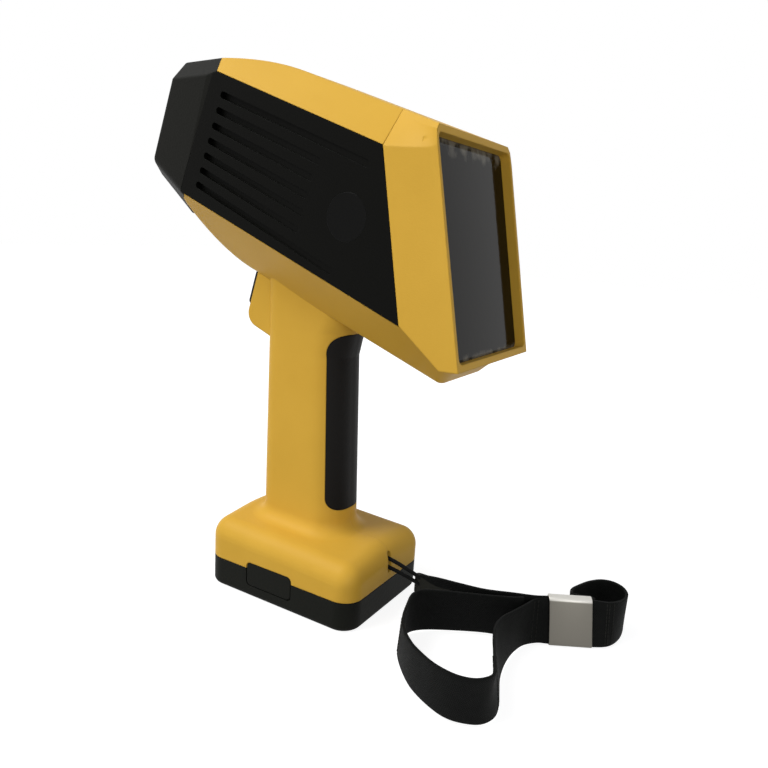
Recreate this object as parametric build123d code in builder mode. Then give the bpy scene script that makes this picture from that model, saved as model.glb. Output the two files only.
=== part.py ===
"""Handheld X-ray fluorescence analyzer: moulded clamshell head and handle, grooved side panels,
nose cap with its measurement window, display bezel, trigger, rubber grip, clip-on battery and wrist strap.

Millimetres. +Z up, +X towards the display, -X towards the nose. The origin is the middle of the
battery's flat underside. Left is -Y.
"""
from build123d import *
from math import atan2, cos, degrees, hypot, radians, sin
import os

os.makedirs("parts", exist_ok=True)

# ---- shells and fits -------------------------------------------------------------------------
wall = 2.5  # moulded wall of the yellow shells
seam_gap = 0.25  # shadow gap round an inlaid cover
seat_gap = 0.2  # gap between a piece and the shell that it drops into
running_fit = 0.05  # radial clearance of a pin in its hole
slide_gap = 0.3  # gap beside a piece that moves

# ---- battery and foot ------------------------------------------------------------------------
base_length = 91.5
base_width = 70.0
base_front = -46.2
base_rear = base_front + base_length
base_corner = 10.0
battery_height = 15.5
battery_edge = 2.5
crown_front = 39.3  # height of the foot's crown at its front and rear ends
crown_rear = 35.4
crown_drop = 3.6
crown_radius = 110.0
shoulder_radius = 10.0
front_crest_radius = 5.0
rear_crest_radius = 4.5
handle_root_radius = 7.0  # fillet where the handle rises out of the foot
root_reach = 1.0  # the filleted edges lie this close to the handle's lowest level

# ---- handle ----------------------------------------------------------------------------------
handle_front_radius = 9.0
handle_rear_radius = 14.0
# height, front, rear and half width of the handle, level by level
handle_levels = (
    (31.0, -28.3, 20.6, 15.6),
    (126.0, -28.9, 16.4, 15.5),
    (138.0, -28.9, 18.8, 15.6),
    (152.0, -28.9, 26.5, 16.0),
    (166.0, -28.9, 32.0, 16.5),
)
handle_wall = 4.2
grip_bottom = 48.0
grip_top = 138.0
grip_front_low = 13.2  # front edge of the rubber at its two ends
grip_front_high = 9.4
grip_reach = 40.0  # anywhere behind the handle's back
grip_depth = 2.0
grip_low_radius = 7.0
grip_high_radius = 10.0

# ---- head ------------------------------------------------------------------------------------
head_slope = 20.0  # degrees that the head's axis falls to the rear
top_level = 261.8  # flat top behind the nose
top_break = -24.6  # where the flat top turns down
top_break_radius = 130.0
top_fall = 0.331  # slope of the top behind the break
side_half_width = 33.0  # half width at side_station
side_station = -65.0
side_taper = 0.0394  # half width gained per millimetre to the rear
chamfer_drop_upper = 1.0  # fall of the upper facet per millimetre of width
chamfer_drop_lower = 1.14
panel_top_front = (-44.4, 254.0)
panel_top_rear = (49.1, 221.3)
panel_bottom_rear = (62.1, 150.6)
panel_bottom_front = (-66.2, 199.5)
belly_point = (-38.0, 163.8)
belly_middle = (-58.6, 175.2)
belly_front = (-71.0, 192.0)
belly_lip = (-69.6, 197.6)
belly_fall = 0.345
chin_x = 75.0  # where the underside turns up to the display
chin_radius = 4.0
belly_edge = 6.0  # rounding between the underside and the lower facets
top_edge = 3.0  # rounding between the top and the upper facets
crease_near = 10.0  # those edges lie between these distances from the middle
crease_far = 27.0

# ---- display bezel ---------------------------------------------------------------------------
rim_top = (72.6, 229.6)
rim_bottom = (91.1, 135.2)
bezel_heel = (83.6, 133.7)
rim_facet = 10.4  # height of the upper facet where it reaches the rim
rim_side = 2.0  # width of the rim beside the glass
rim_end = 3.0  # width of the rim above and below the glass
seam_top_half_width = 24.4
crease_soft = 2.9  # width of the soft edge between the top and the upper facet
rim_shoulder = 1.2  # the rim's upper corners are eased by this much at the side
rim_shoulder_drop = 2.4
rim_shoulder_run = 3.6
bezel_flange = 9.0
ledge = 4.5
gasket_thickness = 0.6
module_thickness = 7.0
glass_recess = 4.6
glass_thickness = 1.8
window_corner = 3.0

# ---- nose cap --------------------------------------------------------------------------------
nose_top = (-77.4, 262.4)
nose_bottom = (-97.2, 209.4)
nose_half_width = 28.0
crease_top = (-47.5, 253.2)
crease_bottom = (-65.2, 209.3)
nose_edge = 3.0  # rounding of the cap's edges: round its face, below it and above it
jaw_edge = 5.0
brow_edge = 2.5
nose_wall = 5.0
nose_top_half_width = 22.0
brow_half_width = 27.1
jaw_tip = (-94.6, 216.2)
jaw_half_width = 27.5
cap_toe = (-73.2, 190.4)
cap_opening = 12.0
on_face = 0.01
plate_width = 36.0
plate_length = 40.0
plate_corner = 5.0
plate_thickness = 2.0
plate_screw_inset = 4.0
plate_screw_radius = 1.0
plate_screw_head = 1.9
window_offset = 5.0  # down the face from its middle
window_radius = 7.5
film_radius = 9.5
film_thickness = 0.25
ring_thickness = 0.9
camera_offset = -11.0
camera_radius = 3.0
camera_thickness = 1.4

# ---- trigger ---------------------------------------------------------------------------------
mount_half_width = 13.0
mount_top = (-33.3, 169.5)  # the block's front face, running up into the head
mount_heel = (-42.2, 138.6)
mount_tail = (-20.0, 129.8)
mount_radius = 7.0

trigger_rise = 16.6  # middle of the trigger above the block's heel, along its face
trigger_length = 19.2
trigger_width = 18.6
trigger_corner = 2.5
trigger_proud = 4.6
trigger_travel = 2.4
trigger_edge = 0.8
flange_thickness = 1.5
flange_lip = 1.0
switch_height = 11.0
switch_depth = 8.0
spring_radius = 2.6
spring_wire = 0.7
spring_seat = 3.0  # depth of the blind hole that holds a spring
spring_proud = 1.2

# ---- side panels -----------------------------------------------------------------------------
panel_thickness = 3.6
groove_count = 7
groove_width = 3.1
groove_depth = 2.7
groove_shallow = 0.5  # what is left of the depth at a groove's rear end
groove_first = (-41.8, 244.3)
groove_last = (-57.7, 204.3)
groove_ends = (43.3, 18.3, 14.4, 12.1, 9.8, 7.4, 26.9)
groove_falls = (0.358, 0.415)  # slope of the first and of the last groove
panel_toe = (-68.8, 200.5)  # lowest point of the strip that laps over the nose cap
badge_place = (33.0, 192.7)
badge_radius = 10.2
badge_depth = 0.8

# ---- battery pack ----------------------------------------------------------------------------
tower_length = 72.0
tower_width = 42.0
tower_corner = 4.0
tower_top = 25.0
battery_wall = 2.0
cell_radius = 9.0
cell_length = 65.0
latch_x = -4.3
latch_z = 12.6
latch_length = 28.4
latch_height = 12.2
latch_corner = 2.6
latch_depth = 4.5
latch_travel = 2.2
latch_edge = 0.6
latch_seat = base_width / 2 - latch_depth - latch_travel - slide_gap  # bottom of the latch pocket
latch_spring_pitch = 16.0
latch_spring_z = 10.5
lid_thickness = 2.0
contact_spots = GridLocations(0, 7.0, 1, 3)
contact_length = 9.0
contact_width = 3.0
contact_depth = 0.5
cell_pitch = 18.6
board_thickness = 1.6
block_bottom = 33.0
block_height = 9.0
block_ease = 0.6  # the bore narrows upwards
pin_radius = 1.2

# ---- strap and its anchor --------------------------------------------------------------------
strap_slot_height = 25.0
strap_slot_length = 11.0
strap_slot_width = 3.2
anchor_radius = 1.2
anchor_length = 13.0
anchor_at = (base_rear - wall - 3.4, strap_slot_height)
ear_reach = 5.4
ear_height = 6.0
ear_thickness = 2.5
ear_place = 4.6

cord_radius = 1.0
cord_slack = 0.1
slot_exit = (49.5, 0.5)
tab_tip = (58.5, 8.0)
tab_back = (76.0, 8.1)
tab_level = 14.5
tab_width = 4.2
tab_height = 9.0
cord_end = (62.5, 8.4)  # where the cord's two strands end, inside the tab
strand_spread = 1.6
strand_fall = 1.2  # how far the cord drops from the pin to slot_exit
cord_bend = 8.0
strap_thickness = 1.3
strap_width = 22.0
strap_level = 1.5
layer_gap = 0.2
slider_at = (131.7, 24.7)
slider_angle = 30.0
slider_length = 20.5
slider_thickness = 5.0
slider_height = 25.0
slider_corner = 2.2
loop_lead = 6.5  # straight webbing ahead of the slider, for it to slide along
loop_tail = 1.5  # straight webbing behind it
# plan route of the webbing: the big loop, the small end loop and the tail behind the big loop
loop_route = (
    (104.0, 13.4), (66.3, -8.6), (69.5, -34.5), (87.0, -56.0), (109.0, -60.5), (125.5, -53.0), (112.5, -17.0),
    (110.5, 6.5),
)
end_route = ((154.0, 38.0), (152.5, 58.5), (136.5, 58.5), (132.5, 42.0))
tail_route = ((108.0, 18.0), (88.0, 9.0), (78.5, 8.2))
strap_radii = (6.0, 22.0, 22.0, 14.0, 9.0, 40.0, 10.0, 6.0, 6.0, 9.0, 8.0, 8.0, 12.0, 2.0, 2.0, 20.0, 20.0)

# ---- inside the head -------------------------------------------------------------------------
nose_window_height = 226.0
nose_window_length = 36.0
nose_window_width = 36.0
cable_window_height = 190.0
cable_window_length = 30.0
cable_window_width = 40.0
screw_boss = 4.0
screw_radius = 1.5
screw_head = 2.8
screw_head_height = 2.4
screw_socket = 1.4
screw_sink = 0.4
bezel_screw_spacing = (56.0, 56.0)
bezel_screw_reach = 6.0
deck_level = 200.0
deck_front = -44.0
deck_rear = 50.0
deck_thickness = 3.0
tube_radius = 9.0
tube_length = 42.0
detector_radius = 7.0
detector_length = 22.0
supply_front = -18.0
supply_rear = 27.0
supply_width = 40.0
supply_height = 16.0
board_front = 4.0
board_rear = 46.0
board_width = 44.0
spreader_height = 6.0


def direction(a, b):
    length = hypot(b[0] - a[0], b[1] - a[1])
    return ((b[0] - a[0]) / length, (b[1] - a[1]) / length)


def half_width(x):
    return side_half_width + side_taper * (x - side_station)


def on_side(point, side, inwards=0.0):
    """A point of the side face, given in the side view; side is -1 for left and 1 for right."""
    return Vector(point[0], side * (half_width(point[0]) - inwards), point[1])


def plane_through(a, b, c, side):
    """The plane of three points, turned to face outwards on its side of the head."""
    normal = (b - a).cross(c - a).normalized()
    if normal.Y * side < 0:
        normal = normal * -1
    return Plane(origin=a, z_dir=normal)


def side_plane(side):
    return plane_through(
        on_side(panel_top_front, side), on_side(panel_top_rear, side), on_side(panel_bottom_rear, side), side
    )


def upper_facet(side):
    start, end = on_side(panel_top_front, side), on_side(panel_top_rear, side)
    return plane_through(start, end, start + Vector(0, -side, chamfer_drop_upper), side)


def lower_facet(side):
    start, end = on_side(panel_bottom_front, side), on_side(panel_bottom_rear, side)
    return plane_through(start, end, start + Vector(0, -side, -chamfer_drop_lower), side)


def top_at(x):
    return top_level - top_fall * (x - top_break)


def bottom_at(x):
    return belly_point[1] - belly_fall * (x - belly_point[0])


seam_top_x = panel_top_rear[0] - 0.9  # the bezel seam on the upper facet
seam_top = (seam_top_x, top_at(seam_top_x))
brow = (-47.8, top_level)  # front edge of the yellow top
chin = (chin_x, bottom_at(chin_x))
rim_run = direction(rim_bottom, rim_top)
rim_length = hypot(rim_top[0] - rim_bottom[0], rim_top[1] - rim_bottom[1])
rim_half_width = half_width(rim_bottom[0]) - 0.3


def trim_to_facets(facets, inset):
    """Cut the part being built back to each facet, moved inwards by inset."""
    for facet in facets:
        split(bisect_by=facet.offset(-inset), keep=Keep.BOTTOM)


def creases(form):
    """The long edges beside the head's top and underside."""
    return [edge for edge in form.edges() if crease_near < abs(edge.center().Y) < crease_far]


def housing_head(inset=0.0):
    """The head of the clamshell, or with an inset the hollow inside it."""
    with BuildPart() as form:
        with BuildSketch(Plane.XZ) as outline:
            with BuildLine():
                Polyline(
                    brow, (top_break, top_level), seam_top, panel_top_rear,
                    panel_bottom_rear, bezel_heel, chin, belly_point,
                )
                ThreePointArc(belly_point, belly_middle, belly_front)
                Polyline(belly_front, belly_lip, panel_bottom_front, panel_top_front, brow)
            make_face()
            fillet(outline.vertices().sort_by_distance((top_break, top_level))[0], top_break_radius)
            fillet(outline.vertices().sort_by_distance(chin)[0], chin_radius)
            if inset:
                offset(amount=-inset, kind=Kind.INTERSECTION)
        extrude(amount=half_width(rim_bottom[0]), both=True)
        for side in (-1, 1):
            trim_to_facets((upper_facet(side), lower_facet(side)), inset)
            trim_to_facets((side_plane(side),), inset + panel_thickness if inset else 0)
        if not inset:
            fillet([edge for edge in creases(form) if edge.center().Z < deck_level], belly_edge)
            fillet([edge for edge in creases(form) if edge.center().Z > deck_level], top_edge)
    return form.part


def handle_section(height, front, rear, half, front_radius, rear_radius):
    """One level of the handle: flat front and sides, nearly round back."""
    with BuildSketch(Plane.XY.offset(height)) as level:
        with BuildLine():
            Polyline((front, -half), (rear, -half), (rear, half), (front, half), close=True)
        make_face()
        fillet(level.vertices().group_by(Axis.X)[-1], rear_radius)
        fillet(level.vertices().group_by(Axis.X)[0], front_radius)
    return level.sketch


def handle_form(inset=0.0):
    """The handle from inside the foot up into the head, flaring where it meets the head."""
    with BuildPart() as form:
        for height, front, rear, half in handle_levels:
            add(
                handle_section(
                    height, front + inset, rear - inset, half - inset,
                    handle_front_radius - inset, handle_rear_radius - inset,
                )
            )
        loft(ruled=True)
    return form.part


def foot_section(x, crown, inset):
    """The foot cut across at x: upright sides, round shoulders and a slight crown."""
    half = base_width / 2 - inset
    top = crown - inset
    low = battery_height + inset
    with BuildSketch(Plane.YZ.offset(x)) as section:
        with BuildLine():
            Polyline((-half, low), (-half, top - crown_drop), (0, top), (half, top - crown_drop), (half, low), close=True)
        make_face()
        fillet(section.vertices().group_by(Axis.Y)[1], shoulder_radius - inset)
        fillet(section.vertices().sort_by(Axis.Y)[-1], crown_radius)
    return section.sketch


def foot_form(inset=0.0):
    """The foot that the battery clips under, or with an inset the hollow inside it."""
    front, rear = base_front + inset, base_rear - inset
    with BuildPart() as form:
        add(foot_section(front, crown_front, inset))
        add(foot_section(rear, crown_rear, inset))
        loft(ruled=True)
        fillet(form.edges().filter_by(Axis.Z), base_corner - inset)
        with BuildSketch(Plane.XZ) as profile:
            with BuildLine():
                Polyline((front, 0), (front, crown_front), (rear, crown_rear), (rear, 0), close=True)
            make_face()
            fillet(profile.vertices().sort_by_distance((front, crown_front))[0], front_crest_radius)
            fillet(profile.vertices().sort_by_distance((rear, crown_rear))[0], rear_crest_radius)
        extrude(amount=base_width / 2, both=True, mode=Mode.INTERSECT)
    return form.part


def foot_and_handle():
    """The foot with the handle growing out of it through a fillet."""
    joined = foot_form() + handle_form()
    low, high = crown_rear - crown_drop, crown_front
    root = [
        edge for edge in joined.edges()
        if low < edge.bounding_box().min.Z and edge.bounding_box().max.Z < high
        and handle_levels[0][1] - root_reach < edge.center().X < handle_levels[0][2] + root_reach
        and abs(edge.center().Y) < handle_levels[0][3] + root_reach
    ]
    return joined.fillet(handle_root_radius, root)


def trigger_mount(inset=0.0):
    """The block under the nose that carries the trigger."""
    with BuildPart() as form:
        with BuildSketch(Plane.XZ) as outline:
            with BuildLine():
                Polyline(mount_top, mount_heel, mount_tail, (mount_tail[0], mount_top[1]), close=True)
            make_face()
            fillet(outline.vertices().sort_by_distance(mount_heel)[0], mount_radius)
            if inset:
                offset(amount=-inset, kind=Kind.INTERSECTION)
        extrude(amount=mount_half_width - inset, both=True)
    return form.part


def panel_outline(gap=0.0):
    """Side view of a side panel; the strip ahead of the brow laps over the nose cap."""
    with BuildSketch(Plane.XZ) as outline:
        with BuildLine():
            Polyline(crease_top, panel_top_front, panel_top_rear, panel_bottom_rear,
                     panel_bottom_front, panel_toe, close=True)
        make_face()
        if gap:
            offset(amount=gap, kind=Kind.INTERSECTION)
    return outline.sketch


def panel_recess():
    """What is cut from the left side of the shells to let a panel in flush."""
    with BuildPart() as recess:
        extrude(panel_outline(seam_gap), amount=2 * side_half_width, dir=(0, -1, 0))
        split(bisect_by=side_plane(-1).offset(-panel_thickness), keep=Keep.TOP)
    return recess.part


def grip_band(gap=0.0):
    """The rubber's share of the handle's skin: a strip up its back with rounded ends."""
    skin = handle_form() - handle_form(grip_depth)
    with BuildPart() as band:
        with BuildSketch(Plane.XZ) as outline:
            with BuildLine():
                Polyline((grip_front_low, grip_bottom), (grip_reach, grip_bottom),
                         (grip_reach, grip_top), (grip_front_high, grip_top), close=True)
            make_face()
            fillet(outline.vertices().sort_by_distance((grip_front_low, grip_bottom))[0], grip_low_radius)
            fillet(outline.vertices().sort_by_distance((grip_front_high, grip_top))[0], grip_high_radius)
            if gap:
                offset(amount=gap)
        extrude(amount=handle_levels[-1][3], both=True)
        add(skin, mode=Mode.INTERSECT)
    return band.part


def latch_pockets():
    """The room that both latches need, moved all the way in."""
    depth = latch_depth + latch_travel + slide_gap
    with BuildPart() as pockets:
        for side in (-1, 1):
            with Locations((latch_x, side * (base_width - depth) / 2, latch_z)):
                Box(latch_length + 2 * slide_gap, depth, latch_height + 2 * slide_gap)
        fillet(pockets.edges().filter_by(Axis.Y), latch_corner)
    return pockets.part


left_recess = panel_recess()
right_recess = mirror(left_recess, about=Plane.XZ)

# ==== housing =================================================================================
outer_head = housing_head()
inner_head = housing_head(wall)
outer_grip = foot_and_handle()
inner_handle = handle_form(handle_wall)
inner_foot = foot_form(wall)
outer_mount = trigger_mount()
inner_mount = trigger_mount(wall)

trigger_run = direction(mount_heel, mount_top)  # up the trigger's face
trigger_plane = Plane(
    origin=(mount_heel[0] + trigger_run[0] * trigger_rise, 0, mount_heel[1] + trigger_run[1] * trigger_rise),
    x_dir=(0, 1, 0), z_dir=(-trigger_run[1], 0, trigger_run[0]),
)
head_screws = ((-36.0, 240.0), (28.0, 214.0), (44.0, 163.0), (-55.0, 203.0))
handle_screws = ((-6.0, 72.0), (-6.0, 112.0))


def cross_boss(radius, spots):
    """Round bars across the housing at the screw positions."""
    with BuildPart() as bars:
        for x, z in spots:
            with BuildSketch(Plane.XZ) as spot:
                with Locations((x, z)):
                    Circle(radius)
            extrude(amount=half_width(rim_bottom[0]), both=True)
    return bars.part


outer_solid = outer_head + outer_grip + outer_mount
bosses = cross_boss(screw_boss, head_screws + handle_screws) & outer_solid

with BuildPart() as housing:
    add(outer_head)
    add(outer_grip)
    add(outer_mount)
    add(inner_head, mode=Mode.SUBTRACT)
    add(inner_handle, mode=Mode.SUBTRACT)
    add(inner_foot, mode=Mode.SUBTRACT)
    add(inner_mount, mode=Mode.SUBTRACT)
    add(bosses)
    add(left_recess, mode=Mode.SUBTRACT)
    add(right_recess, mode=Mode.SUBTRACT)
    add(grip_band(seam_gap / 2), mode=Mode.SUBTRACT)
    # opening under the foot for the battery's tower
    with BuildSketch(Plane.XY.offset(battery_height)) as tower_hole:
        RectangleRounded(tower_length + 2 * slide_gap, tower_width + 2 * slide_gap, tower_corner + slide_gap)
    extrude(amount=wall * 2, mode=Mode.SUBTRACT)
    # trigger slot
    with BuildSketch(trigger_plane) as slot:
        RectangleRounded(trigger_width + 2 * slide_gap, trigger_length + 2 * slide_gap, trigger_corner + slide_gap)
    extrude(amount=-2 * wall, mode=Mode.SUBTRACT)
    extrude(slot.sketch, amount=trigger_proud + slide_gap, mode=Mode.SUBTRACT)
    # strap slot in the back of the foot
    with BuildSketch(Plane.YZ.offset(base_rear - 2 * wall)) as strap_slot:
        with Locations((0, strap_slot_height)):
            SlotOverall(strap_slot_length, strap_slot_width, rotation=90)
    extrude(amount=2 * wall, mode=Mode.SUBTRACT)
    # ears for the strap's anchor pin
    for side in (-1, 1):
        with Locations((base_rear - wall - ear_reach / 2, side * ear_place, strap_slot_height)):
            Box(ear_reach + seam_gap, ear_thickness, ear_height)
    with BuildSketch(Plane.XZ) as anchor_hole:
        with Locations(anchor_at):
            Circle(anchor_radius + running_fit)
    extrude(amount=anchor_length / 2, both=True, mode=Mode.SUBTRACT)
    # windows through the ends of the head
    with BuildSketch(Plane.YZ.offset(crease_bottom[0] - wall)) as nose_window:
        with Locations((0, nose_window_height)):
            RectangleRounded(nose_window_width, nose_window_length, window_corner)
    extrude(amount=crease_top[0] - crease_bottom[0] + 3 * wall, mode=Mode.SUBTRACT)
    with BuildSketch(Plane.YZ.offset(seam_top[0] - 2 * wall)) as cable_window:
        with Locations((0, cable_window_height)):
            RectangleRounded(cable_window_width, cable_window_length, window_corner)
    extrude(amount=3 * wall + panel_bottom_rear[0] - seam_top[0], mode=Mode.SUBTRACT)
    # notches over the battery latches
    add(latch_pockets(), mode=Mode.SUBTRACT)


screw_tip = -8.0  # how far the screws reach past the parting line


def screw_seat(x, z):
    """Where a housing screw's head stops, out from the parting line on the right."""
    if (x, z) in handle_screws:
        return handle_levels[0][3] - screw_sink
    return half_width(x) - panel_thickness - screw_sink


def across(x, z, y):
    """A plane at y whose sketches lie in the side view, extruded towards the left."""
    return Plane(origin=(x, y, z), x_dir=(1, 0, 0), z_dir=(0, -1, 0))


with BuildPart() as screw_holes:
    for x, z in head_screws + handle_screws:
        seat = screw_seat(x, z)
        with BuildSketch(across(x, z, seat)):
            Circle(screw_radius + running_fit)
        extrude(amount=seat - screw_tip + seam_gap)
        with BuildSketch(across(x, z, seat + panel_thickness)):
            Circle(screw_head + seat_gap)
        extrude(amount=panel_thickness + screw_head_height)

with BuildPart() as housing_screws:
    for x, z in head_screws + handle_screws:
        seat = screw_seat(x, z)
        with BuildSketch(across(x, z, seat)):
            Circle(screw_head)
        extrude(amount=screw_head_height)
        with BuildSketch(across(x, z, seat - screw_head_height)):
            Circle(screw_radius)
        extrude(amount=seat - screw_head_height - screw_tip)
        with BuildSketch(across(x, z, seat)):
            RegularPolygon(screw_socket, 6)
        extrude(amount=screw_head_height / 2, mode=Mode.SUBTRACT)

seam_run = direction(panel_bottom_rear, panel_top_rear)
seam_plane = Plane(
    origin=((panel_top_rear[0] + panel_bottom_rear[0]) / 2, 0, (panel_top_rear[1] + panel_bottom_rear[1]) / 2),
    x_dir=(0, 1, 0), z_dir=(seam_run[1], 0, -seam_run[0]),
)
bezel_spots = GridLocations(bezel_screw_spacing[0], bezel_screw_spacing[1], 2, 2)

with BuildPart() as bezel_screw_holes:
    with BuildSketch(seam_plane.offset(-wall - seam_gap)):
        with bezel_spots:
            Circle(screw_radius + running_fit)
    extrude(amount=wall + bezel_screw_reach + 2 * seam_gap)

with BuildPart() as left_housing:
    add(housing.part)
    add(screw_holes.part, mode=Mode.SUBTRACT)
    add(bezel_screw_holes.part, mode=Mode.SUBTRACT)
    split(bisect_by=Plane.XZ, keep=Keep.TOP)

with BuildPart() as right_housing:
    add(housing.part)
    add(screw_holes.part, mode=Mode.SUBTRACT)
    add(bezel_screw_holes.part, mode=Mode.SUBTRACT)
    split(bisect_by=Plane.XZ, keep=Keep.BOTTOM)

with BuildPart() as handle_grip:
    add(grip_band())

# ==== side panels =============================================================================


def groove_cutter(index):
    """One groove: full depth at its round front end, its floor rising to the rear."""
    share = index / (groove_count - 1)
    start = tuple(a + (b - a) * share for a, b in zip(groove_first, groove_last))
    fall = groove_falls[0] + (groove_falls[1] - groove_falls[0]) * share
    end = (groove_ends[index], start[1] - fall * (groove_ends[index] - start[0]))
    along = direction(start, end)
    deep = on_side(start, -1, groove_depth)
    shallow = on_side(end, -1, groove_shallow)
    floor = plane_through(deep, shallow, deep + Vector(-along[1], 0, along[0]), -1)
    length = hypot(end[0] - start[0], end[1] - start[1])
    middle = ((start[0] + end[0]) / 2, (start[1] + end[1]) / 2)
    with BuildPart() as cutter:
        with BuildSketch(Plane.XZ):
            with Locations(middle):
                SlotOverall(length, groove_width, rotation=degrees(atan2(along[1], along[0])))
        extrude(amount=2 * side_half_width)
        split(bisect_by=floor, keep=Keep.TOP)
    return cutter.part


with BuildPart() as grooved_panel:
    extrude(panel_outline(), amount=2 * side_half_width, dir=(0, -1, 0))
    split(bisect_by=side_plane(-1), keep=Keep.BOTTOM)
    split(bisect_by=side_plane(-1).offset(-panel_thickness), keep=Keep.TOP)
    for index in range(groove_count):
        add(groove_cutter(index), mode=Mode.SUBTRACT)

badge_plane = Plane(origin=on_side(badge_place, -1), z_dir=side_plane(-1).z_dir)

with BuildPart() as left_side_panel:
    add(grooved_panel.part)
    with BuildSketch(badge_plane):
        Circle(badge_radius + running_fit)
    extrude(amount=-badge_depth, mode=Mode.SUBTRACT)

with BuildPart() as badge_disc:
    with BuildSketch(badge_plane):
        Circle(badge_radius)
    extrude(amount=-badge_depth)

with BuildPart() as right_side_panel:
    add(mirror(grooved_panel.part, about=Plane.XZ))

# ==== nose cap ================================================================================
nose_run = direction(nose_bottom, nose_top)
nose_normal = (-nose_run[1], 0, nose_run[0])
nose_middle = ((nose_top[0] + nose_bottom[0]) / 2, (nose_top[1] + nose_bottom[1]) / 2)
nose_plane = Plane(origin=(nose_middle[0], 0, nose_middle[1]), x_dir=(0, 1, 0), z_dir=nose_normal)


def cap_facets(side):
    """Tapered side, upper and lower facets of the nose cap, on one side."""
    top, bottom = on_side(crease_top, side), on_side(crease_bottom, side)
    cheek = plane_through(top, bottom, Vector(nose_middle[0], side * nose_half_width, nose_middle[1]), side)
    brow_edge = Vector(brow[0], side * brow_half_width, top_level)
    upper = plane_through(top, brow_edge, Vector(nose_top[0], side * nose_top_half_width, nose_top[1]), side)
    jaw = on_side(panel_toe, side)
    lower = plane_through(
        jaw, jaw + Vector(0, -side, -chamfer_drop_lower), Vector(jaw_tip[0], side * jaw_half_width, jaw_tip[1]), side
    )
    return cheek, upper, lower


def cap_form(inset=0.0):
    """The nose cap, or with an inset its hollow, open at the back."""
    back = cap_opening if inset else 0.0
    front = nose_wall - wall if inset else 0.0
    with BuildPart() as form:
        with BuildSketch(Plane.XZ) as outline:
            with BuildLine():
                Polyline(
                    (nose_top[0] + front, nose_top[1]), (brow[0] + back, brow[1]),
                    (panel_top_front[0] + back, panel_top_front[1]),
                    (panel_bottom_front[0] + back, panel_bottom_front[1]),
                    (belly_lip[0] + back, belly_lip[1]), (belly_front[0] + back, belly_front[1]),
                    cap_toe, (nose_bottom[0] + front, nose_bottom[1]), close=True,
                )
            make_face()
            if inset:
                offset(amount=-inset, kind=Kind.INTERSECTION)
        extrude(amount=side_half_width, both=True)
        for side in (-1, 1):
            trim_to_facets(cap_facets(side), inset)
            trim_to_facets((side_plane(side),), inset + panel_thickness if inset else 0)
    return form.part


def leaves_face(edge):
    """Whether an edge of the cap runs back from a corner of its face."""
    heights = [abs(nose_plane.to_local_coords(edge @ end).Z) for end in (0, 1)]
    return min(heights) < on_face < max(heights)


cap_core = cap_form(wall)
plate_corners = GridLocations(plate_width - 2 * plate_screw_inset, plate_length - 2 * plate_screw_inset, 2, 2)

with BuildPart() as nose_cap:
    add(cap_form())
    fillet([e for e in nose_cap.edges() if leaves_face(e) and e.center().Z < nose_middle[1]], jaw_edge)
    fillet([e for e in nose_cap.edges() if leaves_face(e) and e.center().Z > nose_middle[1]], brow_edge)
    fillet(nose_cap.faces().sort_by(Axis.X)[0].edges(), nose_edge)
    add(cap_core, mode=Mode.SUBTRACT)
    add(left_recess, mode=Mode.SUBTRACT)
    add(right_recess, mode=Mode.SUBTRACT)
    with BuildSketch(nose_plane):
        RectangleRounded(plate_width + seam_gap, plate_length + seam_gap, plate_corner)
    extrude(amount=-plate_thickness, mode=Mode.SUBTRACT)
    with BuildSketch(nose_plane):
        with Locations((0, window_offset)):
            Circle(film_radius + seat_gap)
    extrude(amount=-(plate_thickness + film_thickness + ring_thickness), mode=Mode.SUBTRACT)
    with BuildSketch(nose_plane):
        with Locations((0, window_offset)):
            Circle(window_radius)
    extrude(amount=-2 * nose_wall, mode=Mode.SUBTRACT)
    with BuildSketch(nose_plane):
        with plate_corners:
            Circle(plate_screw_radius + running_fit)
    extrude(amount=-nose_wall, mode=Mode.SUBTRACT)

with BuildPart() as nose_plate:
    with BuildSketch(nose_plane):
        RectangleRounded(plate_width, plate_length, plate_corner)
        with Locations((0, window_offset)):
            Circle(window_radius, mode=Mode.SUBTRACT)
        with Locations((0, camera_offset)):
            Circle(camera_radius + running_fit, mode=Mode.SUBTRACT)
        with plate_corners:
            Circle(plate_screw_head + running_fit, mode=Mode.SUBTRACT)
    extrude(amount=-plate_thickness)

with BuildPart() as window_film:
    with BuildSketch(nose_plane.offset(-plate_thickness)):
        with Locations((0, window_offset)):
            Circle(film_radius)
    extrude(amount=-film_thickness)

with BuildPart() as film_ring:
    with BuildSketch(nose_plane.offset(-plate_thickness - film_thickness)):
        with Locations((0, window_offset)):
            Circle(film_radius)
            Circle(window_radius, mode=Mode.SUBTRACT)
    extrude(amount=-ring_thickness)

with BuildPart() as camera_window:
    with BuildSketch(nose_plane.offset(-plate_thickness)):
        with Locations((0, camera_offset)):
            Circle(camera_radius)
    extrude(amount=camera_thickness)

with BuildPart() as nose_screws:
    with BuildSketch(nose_plane.offset(-plate_thickness)):
        with plate_corners:
            Circle(plate_screw_head)
    extrude(amount=plate_thickness - running_fit)
    with BuildSketch(nose_plane.offset(-plate_thickness)):
        with plate_corners:
            Circle(plate_screw_radius)
    extrude(amount=-(nose_wall - plate_thickness) + seat_gap)

# ==== display =================================================================================
rim_normal = (rim_run[1], 0, -rim_run[0])
rim_plane = Plane(
    origin=((rim_top[0] + rim_bottom[0]) / 2, 0, (rim_top[1] + rim_bottom[1]) / 2), x_dir=(0, 1, 0), z_dir=rim_normal
)
glass_width = 2 * (rim_half_width - rim_side) - seat_gap
glass_length = rim_length - 2 * rim_end - seat_gap
pocket_width = glass_width - 2 * ledge
pocket_length = glass_length - 2 * ledge
ledge_depth = glass_recess + glass_thickness + gasket_thickness


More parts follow.
